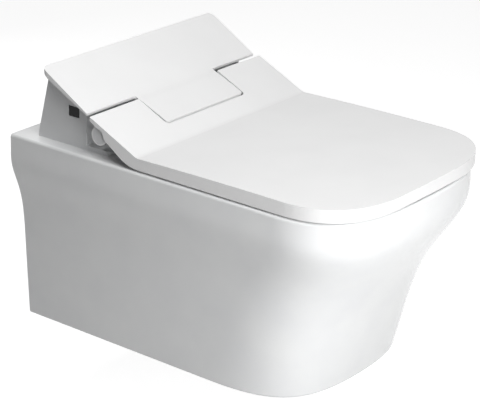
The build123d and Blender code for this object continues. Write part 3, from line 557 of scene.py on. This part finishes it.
def set_world(strength):
    """World that looks white and lights the scene with the given strength."""
    world = bpy.data.worlds.new("studio_surround")
    bpy.context.scene.world = world
    world.use_nodes = True
    tree = world.node_tree
    tree.nodes.clear()
    dim = add(tree, "ShaderNodeBackground", Color=(1, 1, 1, 1), Strength=strength)
    white = add(tree, "ShaderNodeBackground", Color=(1, 1, 1, 1), Strength=1.0)
    path = add(tree, "ShaderNodeLightPath").outputs
    seen = either(tree, either(tree, path["Is Camera Ray"], path["Is Transmission Ray"]), path["Is Glossy Ray"])
    mixed = add(tree, "ShaderNodeMixShader", i0=seen, i1=dim.outputs[0], i2=white.outputs[0])
    add(tree, "ShaderNodeOutputWorld", Surface=mixed.outputs[0])


def lay_floor(height):
    """Pale floor that keeps the object's shadow and is white where the camera sees it."""
    mesh = bpy.data.meshes.new("studio_floor")
    corners = [(x * FLOOR_REACH, y * FLOOR_REACH, height) for x, y in ((-1, -1), (1, -1), (1, 1), (-1, 1))]
    mesh.from_pydata(corners, [], [(0, 1, 2, 3)])
    floor = bpy.data.objects.new("studio_floor", mesh)
    bpy.context.scene.collection.objects.link(floor)
    # Matt floor paint, lifted towards white for the camera
    material, tree, shader, _ = new_material("pale_floor_paint")
    shader.inputs["Base Color"].default_value = linear("#BEBEBE")
    shader.inputs["Roughness"].default_value = 0.9
    glow = add(tree, "ShaderNodeEmission", Color=(1, 1, 1, 1), Strength=0.85)
    dark = add(tree, "ShaderNodeEmission", Color=(0, 0, 0, 1), Strength=0.0)
    path = add(tree, "ShaderNodeLightPath").outputs
    seen = either(tree, path["Is Camera Ray"], path["Is Glossy Ray"])
    gate = add(tree, "ShaderNodeMixShader", i0=seen, i1=dark.outputs[0], i2=glow.outputs[0])
    both = add(tree, "ShaderNodeAddShader", i0=shader.outputs[0], i1=gate.outputs[0])
    output = next(node for node in tree.nodes if node.type == "OUTPUT_MATERIAL")
    tree.links.new(both.outputs[0], output.inputs[0])
    mesh.materials.append(material)


def direction(azimuth, elevation):
    """Way from the pan to a place around it; azimuth 0 is the front and -90 the left."""
    a, e = math.radians(azimuth), math.radians(elevation)
    return Vector((math.sin(a) * math.cos(e), -math.cos(a) * math.cos(e), math.sin(e)))


def lamp(name, power, azimuth, elevation, distance):
    """Soft square light around the pan."""
    data = bpy.data.lights.new(name, "AREA")
    data.shape = "SQUARE"
    data.size = 0.9
    data.energy = power
    made = bpy.data.objects.new(name, data)
    bpy.context.scene.collection.objects.link(made)
    way = direction(azimuth, elevation)
    made.location = AIM + way * distance
    made.rotation_euler = (-way).to_track_quat("-Z", "Y").to_euler()


def set_camera():
    """Camera of the photograph."""
    data = bpy.data.cameras.new("photo_camera")
    camera = bpy.data.objects.new("photo_camera", data)
    bpy.context.scene.collection.objects.link(camera)
    bpy.context.scene.camera = camera
    data.sensor_width = 36.0
    data.lens = CAMERA_LENS
    data.clip_start = 0.05
    data.clip_end = 60.0
    azimuth, elevation, roll = CAMERA_ANGLES
    back = direction(azimuth, elevation)
    azimuth, roll = math.radians(azimuth), math.radians(roll)
    right = Vector((math.cos(azimuth), math.sin(azimuth), 0))
    up = back.cross(right)
    across = right * math.cos(roll) + up * math.sin(roll)
    above = up * math.cos(roll) - right * math.sin(roll)
    view = Matrix((across, above, back)).transposed().to_4x4()
    view.translation = Vector(CAMERA_PLACE)
    camera.matrix_world = view


class PAN_OT_china(bpy.types.Operator):
    """Finish the china pan"""

    bl_idname = "wall_pan.china"
    bl_label = "China Pan"

    def execute(self, context):
        coat("pan")
        return {"FINISHED"}


class PAN_OT_fixings(bpy.types.Operator):
    """Finish the sleeves and grommet, and make the slide plate, bolts, washers, nuts and screws"""

    bl_idname = "wall_pan.fixings"
    bl_label = "Fixings"

    def execute(self, context):
        coat("wall_bolt_sleeves", "service_grommet")
        softened("mounting_plate", "slide_plate", 0.4 * MM, 2)
        softened("seat_bolt_nuts", "hexagon_nuts", 0.5 * MM, 2)
        shank = [(0, 0), (3.3, 0), *thread(4, 0.55, 0.8, 26, 1.4), (4, 26.4), (4, 30)]
        head = [(8, 33.6), (7.8, 34), (3.1, 34), (3.0, 31.6), (0, 31.2)]
        repeated("seat_bolts", "countersunk_bolts", turned("countersunk_bolt", shank + head))
        washer = [(4.3, 0), (10.6, 0), (11, 0.4), (11, 1.2), (10.6, 1.6), (4.3, 1.6)]
        repeated("seat_bolt_washers", "flat_washers", turned("flat_washer", washer, ring=True))
        cross_head = [(0, 0.9), (0.9, 0.1), (2.6, 0), (3.2, 0.3), (3.4, 0.9), (3.4, 1.77), (1.5, 1.77)]
        screw = cross_head + thread(1.75, 0.35, 2.2, 14.8, 1.2) + [(0, 16.1)]
        repeated("housing_screws", "tapping_screws", turned("tapping_screw", screw, 18))
        return {"FINISHED"}


class PAN_OT_shell(bpy.types.Operator):
    """Make the housing, its base and the top cover with rounded edges"""

    bl_idname = "wall_pan.shell"
    bl_label = "Housing and Cover"

    def execute(self, context):
        edge = context.scene.seat_finish.edge
        start, length, _ = TONGUE_LINE
        cuts = [-(start + i * TONGUE_STEP) * MM for i in range(1, int(length / TONGUE_STEP) + 1)]
        softened("top_cover", "cover_moulding", edge, cuts=cuts, height=tongue_lift)
        softened("housing", "housing_moulding", 0.9 * MM, 2)
        softened("base_plate", "base_moulding", 0.8 * MM, 2)
        return {"FINISHED"}


class PAN_OT_lid(bpy.types.Operator):
    """Make the lid with its rounded edge, its pads and its hinge caps"""

    bl_idname = "wall_pan.lid"
    bl_label = "Lid"

    def execute(self, context):
        low, high = (c.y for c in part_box("lid"))
        step = LID_STEP * MM
        cuts = [low + i * step for i in range(1, int((high - low) / step) + 1)]
        softened("lid", "lid_moulding", context.scene.seat_finish.edge, cuts=cuts, height=lid_crown)
        coat("lid_hinge_pin")
        softened("hinge_caps", "knuckle_caps", 0.7 * MM, 3)
        pad = [(0, 0), (4.2, 0), (5.4, 0.3), (6, 1.2), (6, 3.9), (0, 3.9)]
        repeated("lid_buffers", "lid_pads", turned("lid_pad", pad))
        return {"FINISHED"}


class PAN_OT_seat(bpy.types.Operator):
    """Finish the seat ring and the dampers, and make the seat's rubber feet"""

    bl_idname = "wall_pan.seat"
    bl_label = "Seat"

    def execute(self, context):
        coat("seat", "seat_hinge_pin", "lid_damper", "seat_damper")
        foot = [(0, 0), (5.6, 0), (7.2, 0.3), (8, 1.2), (8, 2.7), (0, 2.7)]
        repeated("seat_buffers", "seat_feet", turned("seat_foot", foot))
        return {"FINISHED"}


class PAN_OT_nozzle(bpy.types.Operator):
    """Finish the nozzle and its drive"""

    bl_idname = "wall_pan.nozzle"
    bl_label = "Nozzle"

    def execute(self, context):
        coat("nozzle_guide", "nozzle_motor", "drive_pinion")
        coat("nozzle_wand", "nozzle_tip", "nozzle_cover", "nozzle_rack")
        return {"FINISHED"}


class PAN_OT_works(bpy.types.Operator):
    """Finish the water and electric pieces, and make the key, the button and the latch's coil"""

    bl_idname = "wall_pan.works"
    bl_label = "Works"

    def execute(self, context):
        coat("control_board", "water_heater", "water_pump", "inlet_valve")
        coat("water_inlet", "power_inlet", "key_switch")
        coat("latch_bar")
        softened("side_key", "black_key", 0.5 * MM, 2)
        softened("release_button", "release_button_cap", 0.5 * MM, 2)
        place(latch_coil(), "latch_coil", "latch_spring")
        return {"FINISHED"}


class PAN_OT_stage(bpy.types.Operator):
    """Set the floor, the lights, the world and the camera"""

    bl_idname = "wall_pan.stage"
    bl_label = "Studio"

    def execute(self, context):
        studio = context.scene.studio_settings
        set_world(studio.ambient)
        lay_floor(RIM - studio.rim_to_floor)
        lamp("low_front_light", studio.low_front, -25, 10, 1.3)
        lamp("high_front_light", studio.high_front, -30, 50, 1.6)
        lamp("left_light", studio.left, -70, 65, 1.8)
        lamp("overhead_light", studio.overhead, 180, 75, 1.8)
        lamp("rear_light", studio.rear, 165, 12, 1.8)
        set_camera()
        context.scene.view_settings.view_transform = "Standard"
        return {"FINISHED"}


OPERATORS = (
    PAN_OT_china,
    PAN_OT_fixings,
    PAN_OT_shell,
    PAN_OT_lid,
    PAN_OT_seat,
    PAN_OT_nozzle,
    PAN_OT_works,
    PAN_OT_stage,
)
GROUPS = (PanFinish, SeatFinish, StudioSettings)


class PAN_PT_panel(bpy.types.Panel):
    """Sizes, finishes and the makers of each group of pieces"""

    bl_idname = "PAN_PT_panel"
    bl_label = "Wall Pan"
    bl_space_type = "VIEW_3D"
    bl_region_type = "UI"
    bl_category = "Wall Pan"

    def draw(self, context):
        scene = context.scene
        for group in (scene.pan_finish, scene.seat_finish, scene.studio_settings):
            box = self.layout.box()
            for key in group.__annotations__:
                box.prop(group, key)
        for operator in OPERATORS:
            self.layout.operator(operator.bl_idname)


def register():
    for made in (*GROUPS, *OPERATORS, PAN_PT_panel):
        bpy.utils.register_class(made)
    bpy.types.Scene.pan_finish = bpy.props.PointerProperty(type=PanFinish)
    bpy.types.Scene.seat_finish = bpy.props.PointerProperty(type=SeatFinish)
    bpy.types.Scene.studio_settings = bpy.props.PointerProperty(type=StudioSettings)


def unregister():
    del bpy.types.Scene.pan_finish
    del bpy.types.Scene.seat_finish
    del bpy.types.Scene.studio_settings
    for made in reversed((*GROUPS, *OPERATORS, PAN_PT_panel)):
        bpy.utils.unregister_class(made)


def main():
    """Register the classes and make every group."""
    register()
    for operator in OPERATORS:
        group, name = operator.bl_idname.split(".")
        getattr(getattr(bpy.ops, group), name)()


if __name__ == "__main__":
    main()
